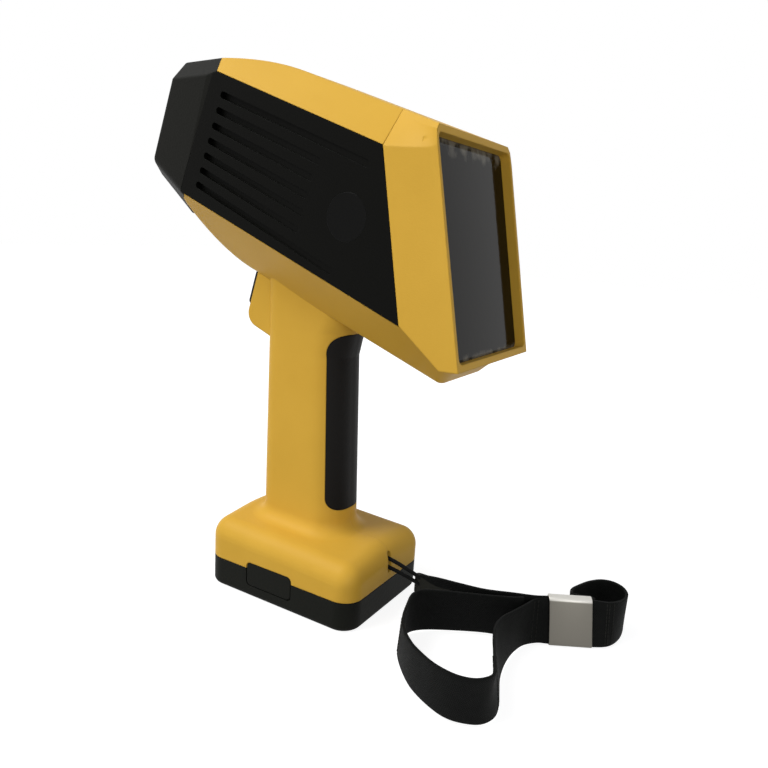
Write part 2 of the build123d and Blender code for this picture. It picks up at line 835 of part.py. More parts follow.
def bezel_form():
    """The frame round the display: its upper corners twist from the head's facets to a square rim."""
    low = (bezel_heel[1] - seam_top[1], 0)
    side = half_width(seam_top_x)
    left_half = [(side, low[0]), (side, panel_top_rear[1] - seam_top[1]), (seam_top_half_width, -crease_soft),
                 (seam_top_half_width - crease_soft, 0)]
    rim_left = [(rim_half_width, -rim_length / 2), (rim_half_width, rim_length / 2 - rim_facet),
                (rim_half_width - rim_shoulder, rim_length / 2 - rim_shoulder_drop),
                (rim_half_width - rim_shoulder_run, rim_length / 2)]
    with BuildPart() as form:
        with BuildSketch(Plane(origin=(seam_top_x, 0, seam_top[1]), x_dir=(0, 1, 0), z_dir=(1, 0, 0))):
            with BuildLine():
                Polyline(*left_half, *((-y, z) for y, z in reversed(left_half)), close=True)
            make_face()
        with BuildSketch(rim_plane):
            with BuildLine():
                Polyline(*rim_left, *((-y, z) for y, z in reversed(rim_left)), close=True)
            make_face()
        loft(ruled=True)
        with BuildSketch(Plane.XZ):
            with BuildLine():
                Polyline(*((x + seam_gap, z) for x, z in (seam_top, panel_top_rear, panel_bottom_rear, bezel_heel)),
                         rim_bottom, rim_top, close=True)
            make_face()
        extrude(amount=rim_half_width, both=True, mode=Mode.INTERSECT)
        for side in (-1, 1):
            trim_to_facets((side_plane(side),), 0)
    return form.part


with BuildPart() as display_bezel:
    add(bezel_form())
    with BuildSketch(rim_plane):
        RectangleRounded(glass_width + seat_gap, glass_length + seat_gap, window_corner)
    extrude(amount=-ledge_depth, mode=Mode.SUBTRACT)
    with BuildSketch(rim_plane):
        RectangleRounded(pocket_width, pocket_length, window_corner)
    extrude(amount=-(ledge_depth + module_thickness), mode=Mode.SUBTRACT)
    with BuildSketch(rim_plane):
        RectangleRounded(pocket_width - 2 * bezel_flange, pocket_length - 2 * bezel_flange, window_corner)
    extrude(amount=-half_width(0), mode=Mode.SUBTRACT)
    add(bezel_screw_holes.part, mode=Mode.SUBTRACT)

with BuildPart() as bezel_gasket:
    with BuildSketch(rim_plane.offset(-ledge_depth)):
        RectangleRounded(glass_width, glass_length, window_corner)
        RectangleRounded(pocket_width, pocket_length, window_corner, mode=Mode.SUBTRACT)
    extrude(amount=gasket_thickness)

with BuildPart() as display_glass:
    with BuildSketch(rim_plane.offset(-glass_recess - glass_thickness)):
        RectangleRounded(glass_width, glass_length, window_corner)
    extrude(amount=glass_thickness)

with BuildPart() as display_module:
    with BuildSketch(rim_plane.offset(-glass_recess - glass_thickness)):
        RectangleRounded(pocket_width - 2 * seat_gap, pocket_length - 2 * seat_gap, window_corner)
    extrude(amount=-module_thickness)

with BuildPart() as bezel_screws:
    with BuildSketch(seam_plane.offset(-wall)):
        with bezel_spots:
            Circle(screw_head)
    extrude(amount=-screw_head_height)
    with BuildSketch(seam_plane.offset(-wall)):
        with bezel_spots:
            Circle(screw_radius)
    extrude(amount=wall + bezel_screw_reach)

# ==== trigger =================================================================================
flange_width = 2 * (mount_half_width - wall - slide_gap)

with BuildPart() as trigger:
    with BuildSketch(trigger_plane.offset(-wall - slide_gap)):
        RectangleRounded(trigger_width, trigger_length, trigger_corner)
    extrude(amount=wall + slide_gap + trigger_proud)
    fillet(trigger.faces().sort_by(Axis(trigger_plane.origin, trigger_plane.z_dir))[-1].edges(), trigger_edge)
    with BuildSketch(trigger_plane.offset(-wall - slide_gap)):
        RectangleRounded(flange_width, trigger_length + 2 * flange_lip, trigger_corner)
    extrude(amount=-flange_thickness)

switch_face = wall + slide_gap + flange_thickness + trigger_travel + spring_proud + slide_gap

with BuildPart() as trigger_switch:
    with BuildSketch(trigger_plane.offset(-switch_face)):
        Rectangle(2 * (mount_half_width - wall - seat_gap), switch_height)
    extrude(amount=-switch_depth)
    with BuildSketch(trigger_plane.offset(-switch_face)):
        Circle(spring_radius + running_fit)
    extrude(amount=-spring_seat, mode=Mode.SUBTRACT)

with BuildPart() as trigger_spring:
    with BuildSketch(trigger_plane.offset(-switch_face - spring_seat)):
        Circle(spring_radius)
        Circle(spring_radius - spring_wire, mode=Mode.SUBTRACT)
    extrude(amount=spring_seat + spring_proud)

# ==== battery pack ============================================================================
base_middle = (base_front + base_rear) / 2
lid_level = tower_top - lid_thickness

with BuildPart() as battery_case:
    with BuildSketch(Plane.XY):
        with Locations((base_middle, 0)):
            RectangleRounded(base_length, base_width, base_corner)
    extrude(amount=battery_height - seam_gap)
    fillet(battery_case.faces().sort_by(Axis.Z)[0].edges(), battery_edge)
    with BuildSketch(Plane.XY.offset(battery_height - wall)):
        RectangleRounded(tower_length, tower_width, tower_corner)
    extrude(amount=lid_level - battery_height + wall)
    with BuildSketch(Plane.XY.offset(battery_wall)):
        RectangleRounded(tower_length - 2 * battery_wall, tower_width - 2 * battery_wall, tower_corner - battery_wall)
    extrude(amount=tower_top, mode=Mode.SUBTRACT)
    add(latch_pockets(), mode=Mode.SUBTRACT)
    for side in (-1, 1):
        with BuildSketch(Plane.XZ.offset(-side * latch_seat)):
            with Locations((latch_x - latch_spring_pitch / 2, latch_spring_z),
                           (latch_x + latch_spring_pitch / 2, latch_spring_z)):
                Circle(spring_radius + running_fit)
        extrude(amount=side * spring_seat, mode=Mode.SUBTRACT)

with BuildPart() as battery_lid:
    with BuildSketch(Plane.XY.offset(lid_level)):
        RectangleRounded(tower_length, tower_width, tower_corner)
    extrude(amount=lid_thickness)
    with BuildSketch(Plane.XY.offset(tower_top - contact_depth)):
        with contact_spots:
            Rectangle(contact_length + 2 * running_fit, contact_width + 2 * running_fit)
    extrude(amount=contact_depth, mode=Mode.SUBTRACT)

with BuildPart() as battery_contacts:
    with BuildSketch(Plane.XY.offset(tower_top - contact_depth)):
        with contact_spots:
            Rectangle(contact_length, contact_width)
    extrude(amount=contact_depth)

with BuildPart() as battery_cells:
    with BuildSketch(Plane.YZ.offset(-cell_length / 2)):
        with Locations((-cell_pitch / 2, battery_wall + cell_radius), (cell_pitch / 2, battery_wall + cell_radius)):
            Circle(cell_radius - running_fit)
    extrude(amount=cell_length)

with BuildPart() as battery_board:
    with Locations((0, 0, lid_level - board_thickness / 2)):
        Box(cell_length, cell_pitch + cell_radius, board_thickness)


def latch(side):
    """A sprung push plate, its outer face flush with the case."""
    with BuildPart() as plate:
        with Locations((latch_x, side * (base_width - latch_depth) / 2, latch_z)):
            Box(latch_length, latch_depth, latch_height)
        fillet(plate.edges().filter_by(Axis.Y), latch_corner)
        fillet(plate.faces().sort_by(Axis.Y)[0 if side < 0 else -1].edges(), latch_edge)
    return plate.part


with BuildPart() as left_latch:
    add(latch(-1))

with BuildPart() as right_latch:
    add(latch(1))

with BuildPart() as latch_springs:
    for side in (-1, 1):
        with BuildSketch(Plane.XZ.offset(-side * (latch_seat - spring_seat))):
            with Locations((latch_x - latch_spring_pitch / 2, latch_spring_z),
                           (latch_x + latch_spring_pitch / 2, latch_spring_z)):
                Circle(spring_radius)
                Circle(spring_radius - spring_wire, mode=Mode.SUBTRACT)
        extrude(amount=-side * (spring_seat - seam_gap))

# ==== terminals in the foot ===================================================================
bore_inset = handle_wall + seat_gap
bore_front, bore_rear, bore_half = handle_levels[0][1:]

with BuildPart() as terminal_block:
    add(
        handle_section(
            block_bottom, bore_front + bore_inset, bore_rear - bore_inset - block_ease, bore_half - bore_inset,
            handle_front_radius - bore_inset, handle_rear_radius - bore_inset,
        )
    )
    extrude(amount=block_height)

with BuildPart() as terminal_pins:
    with BuildSketch(Plane.XY.offset(block_bottom)):
        with contact_spots:
            Circle(pin_radius)
    extrude(amount=-(block_bottom - tower_top - seat_gap))

# ==== inside the head =========================================================================
deck_plane = Plane(
    origin=(0, 0, deck_level), x_dir=(cos(radians(head_slope)), 0, -sin(radians(head_slope))), z_dir=(
        sin(radians(head_slope)), 0, cos(radians(head_slope)))
)


def on_deck(start, end, width, bottom, height):
    """A block on or under the deck: its run along the head, its width and its heights."""
    with BuildPart() as block:
        with BuildSketch(deck_plane.offset(bottom)):
            with Locations(((start + end) / 2, 0)):
                Rectangle(end - start, width)
        extrude(amount=height)
    return block.part


with BuildPart() as chassis_deck:
    add(on_deck(deck_front, deck_rear, 2 * side_half_width + wall * 2, 0, deck_thickness))
    add(housing_head(wall + seat_gap), mode=Mode.INTERSECT)

with BuildPart() as xray_tube:
    with BuildSketch(Plane(origin=deck_plane.from_local_coords((deck_front, 0, deck_thickness + tube_radius)),
                           z_dir=deck_plane.x_dir)):
        Circle(tube_radius)
    extrude(amount=tube_length)

with BuildPart() as detector:
    with BuildSketch(Plane(origin=deck_plane.from_local_coords((deck_front, 0, -detector_radius)),
                           z_dir=deck_plane.x_dir)):
        Circle(detector_radius)
    extrude(amount=detector_length)

with BuildPart() as high_voltage_supply:
    add(on_deck(supply_front, supply_rear, supply_width, -supply_height, supply_height))

with BuildPart() as heat_spreader:
    add(on_deck(board_front, board_rear, board_width, deck_thickness, spreader_height))

with BuildPart() as processor_board:
    add(on_deck(board_front - wall, board_rear + wall, board_width + 2 * wall, deck_thickness + spreader_height,
                board_thickness))

# ==== wrist strap =============================================================================
with BuildPart() as anchor_pin:
    with BuildSketch(Plane.XZ.offset(-anchor_length / 2)):
        with Locations(anchor_at):
            Circle(anchor_radius)
    extrude(amount=anchor_length)

bend = anchor_radius + cord_radius + cord_slack
cord_route = (
    (*cord_end, tab_level + strand_spread),
    (slot_exit[0], slot_exit[1], anchor_at[1] + bend - strand_fall),
    (anchor_at[0] - bend, 0, anchor_at[1] + bend),
    (anchor_at[0] - bend, 0, anchor_at[1] - bend),
    (slot_exit[0], slot_exit[1], anchor_at[1] - bend - strand_fall),
    (*cord_end, tab_level - strand_spread),
)
cord_radii = (cord_bend, bend, bend, cord_bend)

with BuildPart() as lanyard_cord:
    with BuildLine() as cord_line:
        FilletPolyline(*cord_route, radius=cord_radii)
    with BuildSketch(Plane(origin=cord_route[0], z_dir=cord_line.line % 0)):
        Circle(cord_radius)
    sweep()

print("lanyard length", round(cord_line.wires()[0].length, 1), "radii", cord_radii)

with BuildPart() as strap_end_tab:
    with BuildSketch(Plane.XY.offset(tab_level - tab_height / 2)):
        with Locations(((tab_tip[0] + tab_back[0]) / 2, (tab_tip[1] + tab_back[1]) / 2)):
            SlotOverall(hypot(tab_back[0] - tab_tip[0], tab_back[1] - tab_tip[1]) + tab_width, tab_width,
                        rotation=degrees(atan2(tab_back[1] - tab_tip[1], tab_back[0] - tab_tip[0])))
    extrude(amount=tab_height)
    add(lanyard_cord.part, mode=Mode.SUBTRACT)

slider_run = (cos(radians(slider_angle)), sin(radians(slider_angle)))
slider_plane = Plane(origin=(slider_at[0], slider_at[1], 0), x_dir=(slider_run[0], slider_run[1], 0), z_dir=(0, 0, 1))


def beside_slider(along, layer):
    """A plan point by the slider: distance along it, and -1 for the front or 1 for the rear layer."""
    offset_by = layer * (strap_thickness + layer_gap) / 2
    return (slider_at[0] + slider_run[0] * along - slider_run[1] * offset_by,
            slider_at[1] + slider_run[1] * along + slider_run[0] * offset_by)


strap_route = (
    *loop_route, beside_slider(-slider_length / 2 - loop_lead, -1), beside_slider(slider_length / 2 + loop_tail, -1),
    *end_route, beside_slider(slider_length / 2 + loop_tail, 1), beside_slider(-slider_length / 2 - loop_lead, 1),
    *tail_route,
)

with BuildPart() as wrist_strap:
    with BuildSketch(Plane.XY.offset(strap_level)):
        with BuildLine():
            FilletPolyline(*strap_route, radius=strap_radii)
        trace(line_width=strap_thickness)
    extrude(amount=strap_width)

with BuildPart() as strap_slider:
    with BuildSketch(slider_plane):
        RectangleRounded(slider_length, slider_thickness, slider_corner)
    extrude(amount=slider_height)
    with BuildSketch(slider_plane.offset(strap_level - slide_gap)):
        Rectangle(slider_length, 2 * strap_thickness + layer_gap + 2 * slide_gap)
    extrude(amount=strap_width + 2 * slide_gap, mode=Mode.SUBTRACT)

pieces = {
    "left_housing": left_housing, "right_housing": right_housing, "housing_screws": housing_screws,
    "handle_grip": handle_grip, "left_side_panel": left_side_panel, "right_side_panel": right_side_panel,
    "badge_disc": badge_disc, "nose_cap": nose_cap, "nose_plate": nose_plate, "window_film": window_film,
    "film_ring": film_ring, "camera_window": camera_window, "nose_screws": nose_screws,
    "display_bezel": display_bezel, "bezel_gasket": bezel_gasket, "display_glass": display_glass,
    "display_module": display_module, "bezel_screws": bezel_screws, "trigger": trigger,
    "trigger_switch": trigger_switch, "trigger_spring": trigger_spring, "battery_case": battery_case,
    "battery_lid": battery_lid, "battery_contacts": battery_contacts, "battery_cells": battery_cells,
    "battery_board": battery_board, "left_latch": left_latch, "right_latch": right_latch,
    "latch_springs": latch_springs, "terminal_block": terminal_block, "terminal_pins": terminal_pins,
    "chassis_deck": chassis_deck, "xray_tube": xray_tube, "detector": detector,
    "high_voltage_supply": high_voltage_supply, "heat_spreader": heat_spreader,
    "processor_board": processor_board, "anchor_pin": anchor_pin, "lanyard_cord": lanyard_cord,
    "strap_end_tab": strap_end_tab, "wrist_strap": wrist_strap, "strap_slider": strap_slider,
}
for name, piece in pieces.items():
    piece.part.label = name
    export_step(piece.part, f"parts/{name}.step")
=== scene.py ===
"""Handheld X-ray fluorescence analyzer on a pale floor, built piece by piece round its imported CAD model."""

from math import cos, pi, radians, sin

import bmesh
import bpy
from mathutils import Matrix, Vector
from mathutils.geometry import interpolate_bezier


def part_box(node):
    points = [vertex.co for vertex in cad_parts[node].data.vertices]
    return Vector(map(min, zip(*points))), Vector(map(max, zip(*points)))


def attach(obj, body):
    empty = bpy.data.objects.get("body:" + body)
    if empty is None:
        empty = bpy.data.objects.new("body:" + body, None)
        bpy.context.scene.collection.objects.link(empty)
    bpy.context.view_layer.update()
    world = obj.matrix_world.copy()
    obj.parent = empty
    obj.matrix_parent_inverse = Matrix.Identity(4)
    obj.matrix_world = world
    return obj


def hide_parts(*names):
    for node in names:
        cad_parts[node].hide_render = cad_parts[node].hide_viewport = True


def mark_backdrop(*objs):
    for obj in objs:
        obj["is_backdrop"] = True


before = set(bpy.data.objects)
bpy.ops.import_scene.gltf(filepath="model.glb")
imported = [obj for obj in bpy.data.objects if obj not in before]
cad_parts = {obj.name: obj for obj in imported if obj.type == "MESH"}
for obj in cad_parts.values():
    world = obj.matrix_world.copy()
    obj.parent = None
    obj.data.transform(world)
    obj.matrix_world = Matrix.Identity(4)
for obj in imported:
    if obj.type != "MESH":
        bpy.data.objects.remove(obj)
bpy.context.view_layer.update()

# ==== The place where it stands ===================================================================
# A pale sweep under soft studio panels. The floor lies at the height of the battery's flat underside
# and keeps the analyzer's soft shadow.
floor_half = 3.0
floor_tone = 0.38
floor_glow_near = 0.88
floor_glow_far = 1.0
floor_fade_starts = 0.2
floor_fade_ends = 0.6
room_tint = (0.93, 0.96, 1.0, 1.0)
room_strength = 0.28


def linear(red, green, blue):
    """A colour given as 0 to 255 screen values, as the shader's linear values."""
    return tuple(
        part / 12.92 if part <= 0.04045 else ((part + 0.055) / 1.055) ** 2.4
        for part in (red / 255, green / 255, blue / 255)
    )


def seen_directly(tree):
    """A value that is 1 where the camera, a mirror or a glass looks straight at the surface."""
    paths = tree.nodes.new("ShaderNodeLightPath")
    first = tree.nodes.new("ShaderNodeMath")
    first.operation = "MAXIMUM"
    second = tree.nodes.new("ShaderNodeMath")
    second.operation = "MAXIMUM"
    tree.links.new(paths.outputs["Is Camera Ray"], first.inputs[0])
    tree.links.new(paths.outputs["Is Glossy Ray"], first.inputs[1])
    tree.links.new(first.outputs["Value"], second.inputs[0])
    tree.links.new(paths.outputs["Is Transmission Ray"], second.inputs[1])
    return second.outputs["Value"]


def put_in_scene(name, data):
    """A new object with this mesh, curve, lamp or camera."""
    thing = bpy.data.objects.new(name, data)
    bpy.context.scene.collection.objects.link(thing)
    return thing


def make_world():
    """A dim grey room all round, which is white where it is seen directly."""
    world = bpy.data.worlds.new("studio")
    world.use_nodes = True
    tree = world.node_tree
    tree.nodes.clear()
    room = tree.nodes.new("ShaderNodeBackground")
    room.inputs["Color"].default_value = room_tint
    room.inputs["Strength"].default_value = room_strength
    white = tree.nodes.new("ShaderNodeBackground")
    white.inputs["Color"].default_value = (1.0, 1.0, 1.0, 1.0)
    white.inputs["Strength"].default_value = 1.0
    choice = tree.nodes.new("ShaderNodeMixShader")
    out = tree.nodes.new("ShaderNodeOutputWorld")
    tree.links.new(seen_directly(tree), choice.inputs["Fac"])
    tree.links.new(room.outputs["Background"], choice.inputs[1])
    tree.links.new(white.outputs["Background"], choice.inputs[2])
    tree.links.new(choice.outputs["Shader"], out.inputs["Surface"])
    return world


def make_floor():
    """A wide flat floor that fades to white away from the analyzer."""
    mesh = bpy.data.meshes.new("floor")
    corners = [(-floor_half, -floor_half, 0), (floor_half, -floor_half, 0),
               (floor_half, floor_half, 0), (-floor_half, floor_half, 0)]
    mesh.from_pydata(corners, [], [(0, 1, 2, 3)])
    ground = put_in_scene("floor", mesh)
    finish = bpy.data.materials.new("floor_paint")
    finish.use_nodes = True
    tree = finish.node_tree
    shader = tree.nodes["Principled BSDF"]
    shader.inputs["Base Color"].default_value = (floor_tone, floor_tone, floor_tone, 1.0)
    shader.inputs["Roughness"].default_value = 0.95
    shader.inputs["Specular IOR Level"].default_value = 0.0
    glow = tree.nodes.new("ShaderNodeEmission")
    place = tree.nodes.new("ShaderNodeTexCoord")
    reach = tree.nodes.new("ShaderNodeVectorMath")
    reach.operation = "LENGTH"
    fade = tree.nodes.new("ShaderNodeMapRange")
    fade.inputs["From Min"].default_value = floor_fade_starts
    fade.inputs["From Max"].default_value = floor_fade_ends
    fade.inputs["To Min"].default_value = floor_glow_near
    fade.inputs["To Max"].default_value = floor_glow_far
    tree.links.new(place.outputs["Object"], reach.inputs[0])
    tree.links.new(reach.outputs["Value"], fade.inputs["Value"])
    tree.links.new(fade.outputs["Result"], glow.inputs["Strength"])
    both = tree.nodes.new("ShaderNodeAddShader")
    choice = tree.nodes.new("ShaderNodeMixShader")
    out = tree.nodes["Material Output"]
    tree.links.new(shader.outputs["BSDF"], both.inputs[0])
    tree.links.new(glow.outputs["Emission"], both.inputs[1])
    tree.links.new(seen_directly(tree), choice.inputs["Fac"])
    tree.links.new(shader.outputs["BSDF"], choice.inputs[1])
    tree.links.new(both.outputs["Shader"], choice.inputs[2])
    tree.links.new(choice.outputs["Shader"], out.inputs["Surface"])
    mesh.materials.append(finish)
    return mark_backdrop(ground)


def soft_panel(name, place, aim, side, watts):
    """A square studio panel."""
    lamp = bpy.data.lights.new(name, "AREA")
    lamp.size = side
    lamp.energy = watts
    panel = put_in_scene(name, lamp)
    panel.location = place
    panel.rotation_euler = (Vector(aim) - Vector(place)).to_track_quat("-Z", "Y").to_euler()
    return panel


bpy.context.scene.world = make_world()
make_floor()
soft_panel("panel_above", (-0.66, -0.66, 1.3), (0.0, 0.0, 0.13), 0.9, 19.5)
soft_panel("panel_left", (-0.4, -1.3, 0.3), (0.0, 0.0, 0.16), 0.5, 1.9)
soft_panel("panel_right", (1.05, -0.85, 0.42), (0.05, 0.0, 0.12), 0.8, 4.4)
bpy.context.scene.view_settings.view_transform = "Standard"

# ==== The camera ==================================================================================
# A hand-held view of the left side and the display, from a little above the middle of the head. Its
# angles are its turn about the upright, its fall below level and its roll, in radians.
camera_place = Vector((0.20277, -0.28595, 0.18941))
camera_turn = 0.5305
camera_fall = 0.2190
camera_roll = -0.0658
camera_lens = 32.85

forward = Vector((-sin(camera_turn) * cos(camera_fall), cos(camera_turn) * cos(camera_fall), -sin(camera_fall)))
level = Vector((cos(camera_turn), sin(camera_turn), 0.0))
down = forward.cross(level)
right = level * cos(camera_roll) + down * sin(camera_roll)
up = level * sin(camera_roll) - down * cos(camera_roll)

eye = put_in_scene("camera", bpy.data.cameras.new("camera"))
eye.data.sensor_width = 36.0
eye.data.lens = camera_lens
eye.data.clip_start = 0.01
eye.matrix_world = Matrix.Translation(camera_place) @ Matrix((right, up, -forward)).transposed().to_4x4()
bpy.context.scene.camera = eye

# ==== Lanyard cord ================================================================================
# A doubled black braided cord runs from the strap's leather tab through the slot in the foot, round a
# steel pin and back.
mm = 0.001
lanyard_route = (
    (62.5, 8.4, 16.1), (49.5, 0.5, 26.1), (37.1, 0.0, 27.3), (37.1, 0.0, 22.7), (49.5, 0.5, 21.5), (62.5, 8.4, 12.9),
)
lanyard_thickness = 2.0 * mm


def new_finish(name, colour, roughness, metallic=0.0, specular=0.5):
    """A material whose even values sit on the shader's own sockets."""
    finish = bpy.data.materials.new(name)
    finish.use_nodes = True
    shader = finish.node_tree.nodes["Principled BSDF"]
    shader.inputs["Base Color"].default_value = (*colour, 1.0)
    shader.inputs["Roughness"].default_value = roughness
    shader.inputs["Metallic"].default_value = metallic
    shader.inputs["Specular IOR Level"].default_value = specular
    return finish


def object_noise(finish, scale, detail=3.0):
    """Noise that is fixed to the piece."""
    tree = finish.node_tree
    place = tree.nodes.new("ShaderNodeTexCoord")
    noise = tree.nodes.new("ShaderNodeTexNoise")
    noise.inputs["Scale"].default_value = scale
    noise.inputs["Detail"].default_value = detail
    tree.links.new(place.outputs["Object"], noise.inputs["Vector"])
    return noise.outputs["Fac"]


def grain(finish, scale, height, edge=0.0005):
    """Moulded grain on the surface, with every sharp edge softened by a hair."""
    tree = finish.node_tree
    soft = tree.nodes.new("ShaderNodeBevel")
    soft.samples = 4
    soft.inputs["Radius"].default_value = edge
    bump = tree.nodes.new("ShaderNodeBump")
    bump.inputs["Distance"].default_value = height
    tree.links.new(object_noise(finish, scale), bump.inputs["Height"])
    tree.links.new(soft.outputs["Normal"], bump.inputs["Normal"])
    tree.links.new(bump.outputs["Normal"], tree.nodes["Principled BSDF"].inputs["Normal"])


def dress(finish, *names):
    """Gives CAD nodes their finish."""
    for name in names:
        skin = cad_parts[name].data.materials
        skin.clear()
        skin.append(finish)


cord_braid = new_finish("cord_braid", linear(14, 14, 14), 0.75, specular=0.1)
grain(cord_braid, 1200.0, 0.0002)
dress(cord_braid, "lanyard_cord")

lanyard_line = bpy.data.curves.new("lanyard", "CURVE")
lanyard_line.dimensions = "3D"
lanyard_line.bevel_depth = 1.0  # times each point's own radius
lanyard_line.bevel_resolution = 4
lanyard_line.resolution_u = 16
strand = lanyard_line.splines.new("NURBS")
strand.points.add(len(lanyard_route) - 1)
for point, place in zip(strand.points, lanyard_route):
    point.co = (*(Vector(place) * mm), 1.0)
    point.radius = lanyard_thickness / 2
strand.order_u = 3
strand.use_endpoint_u = True
lanyard_line.materials.append(cord_braid)
lanyard = put_in_scene("lanyard", lanyard_line)
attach(lanyard, "housing")
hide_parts("lanyard_cord")

# ==== Yellow shells ===============================================================================
# The two clamshell halves and the frame round the display, moulded in yellow plastic with a fine satin
# grain. Screws from the right hold the halves, and four more hold the frame.
shell_yellow = linear(216, 170, 64)
shell_shade = linear(212, 166, 61)


def mottle(finish, other, scale):
    """Slow change between the finish's colour and another."""
    tree = finish.node_tree
    shader = tree.nodes["Principled BSDF"]
    ramp = tree.nodes.new("ShaderNodeValToRGB")
    ramp.color_ramp.elements[0].position = 0.35
    ramp.color_ramp.elements[1].position = 0.65
    ramp.color_ramp.elements[0].color = shader.inputs["Base Color"].default_value
    ramp.color_ramp.elements[1].color = (*other, 1.0)
    tree.links.new(object_noise(finish, scale), ramp.inputs["Fac"])
    tree.links.new(ramp.outputs["Color"], shader.inputs["Base Color"])


yellow_plastic = new_finish("yellow_plastic", shell_yellow, 0.45, specular=0.09)
mottle(yellow_plastic, shell_shade, 30.0)
grain(yellow_plastic, 1400.0, 0.00005, edge=0.0009)
dress(yellow_plastic, "left_housing", "right_housing", "display_bezel")

screw_steel = new_finish("screw_steel", linear(120, 120, 118), 0.35, 1.0)
grain(screw_steel, 900.0, 0.00003, edge=0.0002)
dress(screw_steel, "housing_screws", "bezel_screws", "nose_screws", "anchor_pin")

# ==== Rubber grip =================================================================================
# A soft black rubber strip with a fine grain, moulded into the back of the handle. It lies flush with
# the yellow plastic round it.
grip_rubber = new_finish("grip_rubber", linear(14, 12, 10), 0.55, specular=0.1)
grain(grip_rubber, 900.0, 0.0001)
dress(grip_rubber, "handle_grip")

# ==== Side panels =================================================================================
# A black moulded cover is set into each side of the head, with seven grooves that run out to nothing.
# The left one carries a plain round disc.
panel_plastic = new_finish("panel_plastic", linear(9, 9, 7), 0.42, specular=0.04)
grain(panel_plastic, 1100.0, 0.00006, edge=0.0002)
dress(panel_plastic, "left_side_panel", "right_side_panel")

badge_plastic = new_finish("badge_plastic", linear(8, 8, 7), 0.3, specular=0.06)
grain(badge_plastic, 900.0, 0.00003)
dress(badge_plastic, "badge_disc")

# ==== Nose ========================================================================================
# A black plastic cap closes the front of the head. Screws hold a steel plate on its face, and a ring
# holds the thin film over the plate's measurement window.
nose_plastic = new_finish("nose_plastic", linear(22, 22, 19), 0.5, specular=0.04)
grain(nose_plastic, 900.0, 0.0001, edge=0.0008)
dress(nose_plastic, "nose_cap")

nose_metal = new_finish("nose_metal", linear(150, 150, 146), 0.38, 1.0)
grain(nose_metal, 1500.0, 0.00003)
dress(nose_metal, "nose_plate", "film_ring")

thin_film = new_finish("thin_film", linear(140, 96, 40), 0.2)
grain(thin_film, 300.0, 0.00004)
dress(thin_film, "window_film")

lens_glass = new_finish("lens_glass", linear(16, 18, 22), 0.08)
grain(lens_glass, 300.0, 0.00001)
dress(lens_glass, "camera_window")

# ==== Display =====================================================================================
# A dark touch glass lies deep inside the yellow frame, over the display's module. A foam gasket seals
# the frame.
screen_glass = new_finish("screen_glass", linear(10, 9, 7), 0.08, specular=0.072)
screen_glass.node_tree.nodes["Principled BSDF"].inputs["Specular Tint"].default_value = (1.0, 0.95, 0.87, 1.0)
grain(screen_glass, 500.0, 0.00002)
dress(screen_glass, "display_glass")

# Its thin protective film has lifted and hazed along the top and the bottom edge.
glass_low, glass_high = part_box("display_glass")
haze_depth_top = 0.014
haze_depth_low = 0.006
haze_scale = 160.0
haze_detail = 6.0
haze_starts = 0.30
haze_full = 0.52
haze_pale = linear(112, 108, 98)


def film_haze(finish, low, high):
    """Pale haze in the film, from noise that is cut off away from both edges."""
    tree = finish.node_tree
    shader = tree.nodes["Principled BSDF"]
    place = tree.nodes.new("ShaderNodeTexCoord")
    level_of = tree.nodes.new("ShaderNodeSeparateXYZ")
    tree.links.new(place.outputs["Object"], level_of.inputs["Vector"])
    near = []
    for start, end in ((high - haze_depth_top, high), (low + haze_depth_low, low)):
        edge = tree.nodes.new("ShaderNodeMapRange")
        edge.inputs["From Min"].default_value = start
        edge.inputs["From Max"].default_value = end
        tree.links.new(level_of.outputs["Z"], edge.inputs["Value"])
        near.append(edge.outputs["Result"])
    either = tree.nodes.new("ShaderNodeMath")
    either.operation = "MAXIMUM"
    tree.links.new(near[0], either.inputs[0])
    tree.links.new(near[1], either.inputs[1])
    patch = tree.nodes.new("ShaderNodeMath")
    patch.operation = "MULTIPLY"
    tree.links.new(either.outputs["Value"], patch.inputs[0])
    tree.links.new(object_noise(finish, haze_scale, haze_detail), patch.inputs[1])
    cut = tree.nodes.new("ShaderNodeValToRGB")
    cut.color_ramp.elements[0].position = haze_starts
    cut.color_ramp.elements[1].position = haze_full
    cut.color_ramp.elements[0].color = shader.inputs["Base Color"].default_value
    cut.color_ramp.elements[1].color = (*haze_pale, 1.0)
    tree.links.new(patch.outputs["Value"], cut.inputs["Fac"])
    tree.links.new(cut.outputs["Color"], shader.inputs["Base Color"])


film_haze(screen_glass, glass_low[2], glass_high[2])

display_frame = new_finish("display_frame", linear(40, 40, 42), 0.5)
grain(display_frame, 600.0, 0.00005)
dress(display_frame, "display_module")

gasket_foam = new_finish("gasket_foam", linear(20, 20, 20), 0.9)
grain(gasket_foam, 1500.0, 0.0001)
dress(gasket_foam, "bezel_gasket")

# ==== Trigger =====================================================================================
# A black plastic key that slides into the front of its block. A small steel spring pushes it out, and
# a switch lies behind it.
key_plastic = new_finish("key_plastic", linear(17, 17, 16), 0.5, specular=0.12)
grain(key_plastic, 900.0, 0.00008)
dress(key_plastic, "trigger", "trigger_switch", "terminal_block")

spring_steel = new_finish("spring_steel", linear(160, 160, 158), 0.3, 1.0)
grain(spring_steel, 900.0, 0.00002)
dress(spring_steel, "trigger_spring", "latch_springs")

# ==== Battery =====================================================================================
# A black plastic case and its lid hold the cells, and clip under the foot. A sprung latch on each side
# holds the case, and brass pins meet its contacts.
case_plastic = new_finish("case_plastic", linear(19, 20, 16), 0.55, specular=0.06)
grain(case_plastic, 900.0, 0.0001, edge=0.0006)
dress(case_plastic, "battery_case", "battery_lid", "left_latch", "right_latch")

cell_wrap = new_finish("cell_wrap", linear(60, 110, 70), 0.35)
grain(cell_wrap, 300.0, 0.00005)
dress(cell_wrap, "battery_cells")

